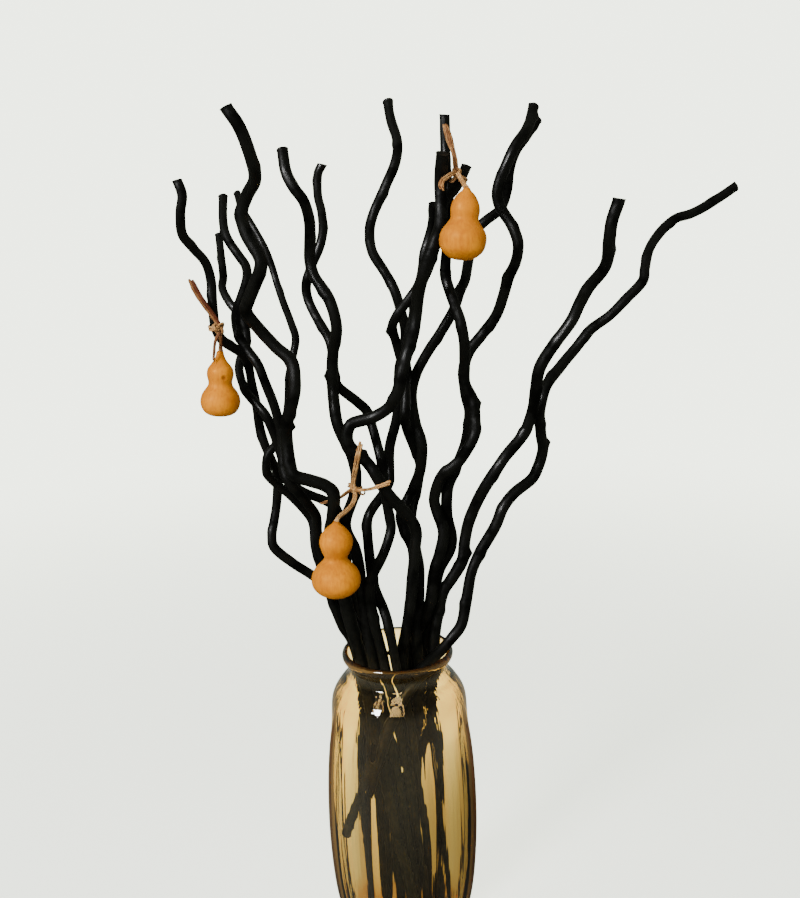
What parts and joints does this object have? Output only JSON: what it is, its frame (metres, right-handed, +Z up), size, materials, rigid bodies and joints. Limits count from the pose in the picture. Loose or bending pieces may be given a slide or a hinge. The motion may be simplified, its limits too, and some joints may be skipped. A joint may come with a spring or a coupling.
{
  "type": "willow stems in a vase",
  "caption": "Wavy black-dyed willow stems standing free in a tall panelled amber glass vase, with small dried bottle gourds tied on by their own dried vines",
  "frame": {"origin": "centre of the vase's flat foot, on the surface it stands on", "axes": "+Z up along the vase's axis, -Y towards the side the gourds hang on, +X to the right seen from that side"},
  "size_m": [0.4192, 0.1986, 0.6753],
  "materials": {
    "amber_glass": "clear pale amber glass, thick, with soft vertical streaks",
    "black_dyed_bark": "bark dyed black, satin, finely ridged along the stem",
    "gourd_skin": "dried golden tan gourd skin, smooth and slightly waxy",
    "dried_vine": "dried brown vine, fibrous and matte"
  },
  "bodies": {
    "root": {"vase": "amber_glass", "willow_stem_01": "black_dyed_bark", "willow_stem_02": "black_dyed_bark", "willow_stem_03": "black_dyed_bark", "willow_stem_04": "black_dyed_bark", "willow_stem_05": "black_dyed_bark", "willow_stem_06": "black_dyed_bark", "willow_stem_07": "black_dyed_bark", "willow_stem_08": "black_dyed_bark", "willow_stem_09": "black_dyed_bark", "willow_stem_10": "black_dyed_bark", "willow_stem_11": "black_dyed_bark", "willow_stem_12": "black_dyed_bark", "willow_stem_13": "black_dyed_bark", "willow_stem_14": "black_dyed_bark", "willow_stem_15": "black_dyed_bark", "willow_stem_16": "black_dyed_bark", "gourd_left": "gourd_skin", "gourd_top": "gourd_skin", "gourd_front": "gourd_skin", "vine_left": "dried_vine", "vine_top": "dried_vine", "vine_front": "dried_vine"}
  },
  "joints": []
}
